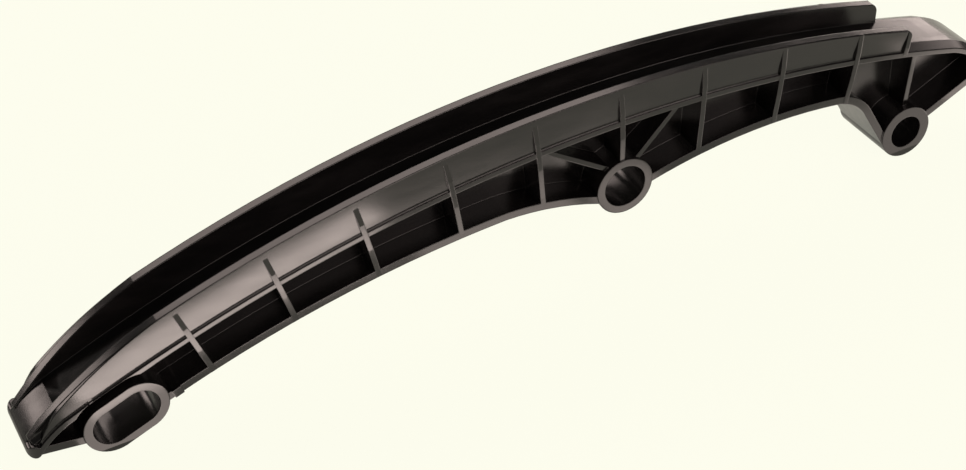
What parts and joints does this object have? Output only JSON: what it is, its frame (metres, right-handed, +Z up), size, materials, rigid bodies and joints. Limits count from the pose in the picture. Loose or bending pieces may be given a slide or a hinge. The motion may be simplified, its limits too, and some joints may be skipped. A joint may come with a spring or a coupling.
{
  "type": "timing chain guide",
  "caption": "Black moulded timing chain guide rail: a curved running channel with side walls, a ribbed body, two bolt bosses and a slotted boss.",
  "frame": {"origin": "middle of the length and width, at the bottom of the two end bosses", "axes": "+X along the rail from the slotted lead-in end to the nose, +Y across the rail, +Z up, towards the chain side"},
  "size_m": [0.2595, 0.0186, 0.0496],
  "materials": {
    "body": "satin moulded"
  },
  "bodies": {
    "root": {"guide_rail": "body"}
  },
  "joints": []
}
